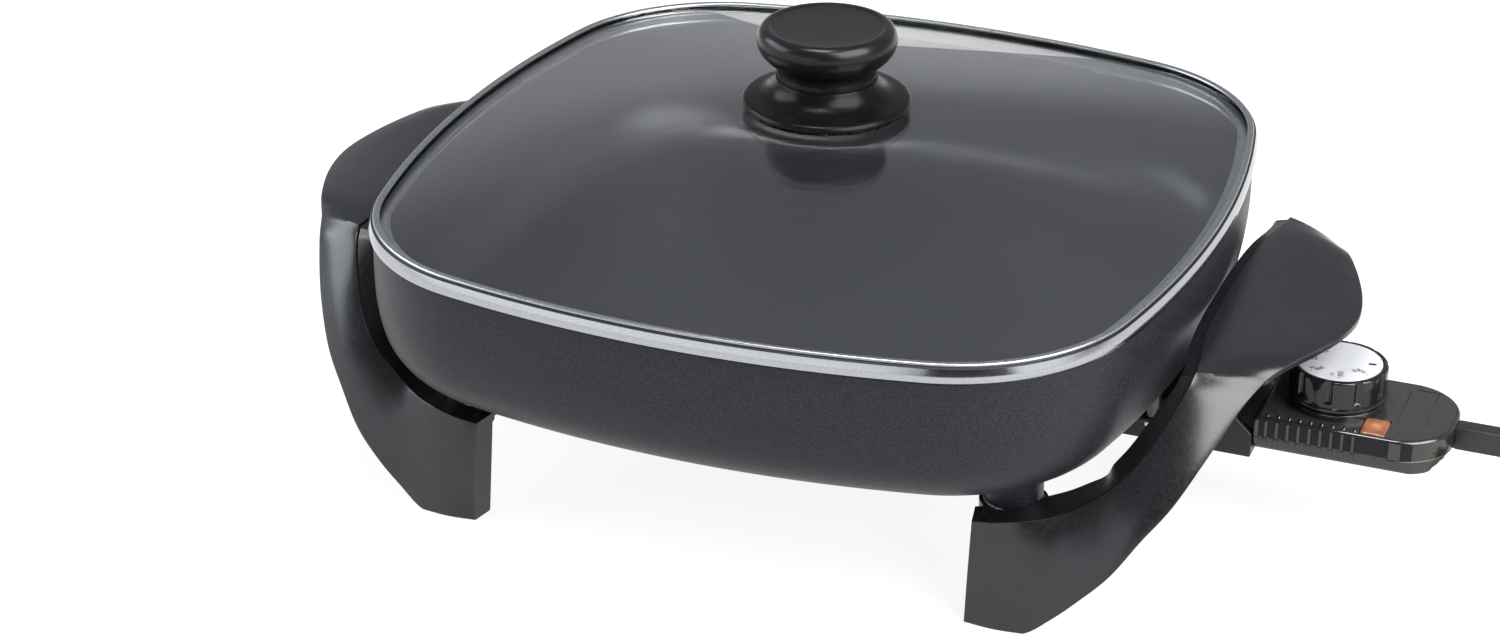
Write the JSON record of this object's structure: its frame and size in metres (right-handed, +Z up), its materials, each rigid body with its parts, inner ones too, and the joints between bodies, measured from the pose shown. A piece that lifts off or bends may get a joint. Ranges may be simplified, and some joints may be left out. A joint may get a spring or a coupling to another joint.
{
  "type": "electric skillet",
  "caption": "Square cast electric skillet on two arched leg handles, with a lift-off domed glass lid and a plug-in probe control with dial, lamp and cord.",
  "frame": {"origin": "On the table surface that the feet stand on, directly under the centre of the pan.", "axes": "+X points to the side with the plug-in control, -Y to the front, +Z up."},
  "size_m": [0.5686, 0.31, 0.1723],
  "materials": {
    "cast_pan": "satin",
    "element_sheath": "dull",
    "terminal_metal": "satin",
    "ceramic": "matt",
    "guard_plastic": "matt",
    "screw_steel": "bright",
    "handle_phenolic": "satin",
    "rim_steel": "polished",
    "lid_glass": "clear",
    "knob_phenolic": "gloss",
    "brass": "satin",
    "silicone": "matt",
    "control_plastic": "gloss",
    "lens_amber": "translucent, lit from inside",
    "lamp_glass": "clear",
    "probe_steel": "polished",
    "bimetal": "satin",
    "cord_rubber": "satin",
    "tie_plastic": "matt",
    "dial_plastic": "gloss",
    "dial_white": "satin"
  },
  "bodies": {
    "skillet": {"pan": "cast_pan", "heating_element": "element_sheath", "element_terminals": "terminal_metal", "terminal_bushings": "ceramic", "terminal_guard": "guard_plastic", "guard_screws": "screw_steel", "left_handle": "handle_phenolic", "right_handle": "handle_phenolic", "handle_washers": "screw_steel", "handle_screws": "screw_steel"},
    "lid": {"lid_rim": "rim_steel", "lid_glass": "lid_glass", "knob_guard": "knob_phenolic", "lid_knob": "knob_phenolic", "knob_insert": "brass", "knob_gaskets": "silicone", "knob_washer": "screw_steel", "knob_screw": "screw_steel"},
    "control": {"control_upper_housing": "control_plastic", "control_lower_housing": "control_plastic", "housing_screws": "screw_steel", "indicator_lens": "lens_amber", "neon_lamp": "lamp_glass", "lamp_resistor": "ceramic", "probe_tube": "probe_steel", "bimetal_strip": "bimetal", "push_bead": "ceramic", "probe_flange": "brass", "terminal_receptacles": "brass", "lead_strips": "brass", "contact_stack": "ceramic", "upper_contact_arm": "brass", "lower_contact_arm": "brass", "strain_relief": "cord_rubber", "power_cord": "cord_rubber", "cord_coil": "cord_rubber", "cord_tail": "cord_rubber", "cord_tie": "tie_plastic", "plug_body": "cord_rubber", "plug_blades": "brass"},
    "dial": {"dial_knob": "dial_plastic", "dial_face": "dial_white", "dial_shaft": "screw_steel", "shaft_clip": "screw_steel"},
    "plunger": {"plunger": "ceramic"}
  },
  "joints": [
    {"name": "lid_lift", "type": "slide", "parent": "skillet", "child": "lid", "axis": [0, 0, 1], "range_m": [0, 0.12]},
    {"name": "control_unplug", "type": "slide", "parent": "skillet", "child": "control", "axis": [1, 0, 0], "range_m": [0, 0.085]},
    {"name": "dial_turn", "type": "hinge", "parent": "control", "child": "dial", "pos_m": [0.2014, 0, 0.057], "axis": [0, 0, 1], "range_deg": [0, 300]},
    {"name": "plunger_travel", "type": "slide", "parent": "control", "child": "plunger", "axis": [0, 0, -1], "range_m": [0, 0.0008]}
  ],
  "couplings": [
    {"joint": "plunger_travel", "follows": "dial_turn", "m_per_rad": 0.00015}
  ]
}
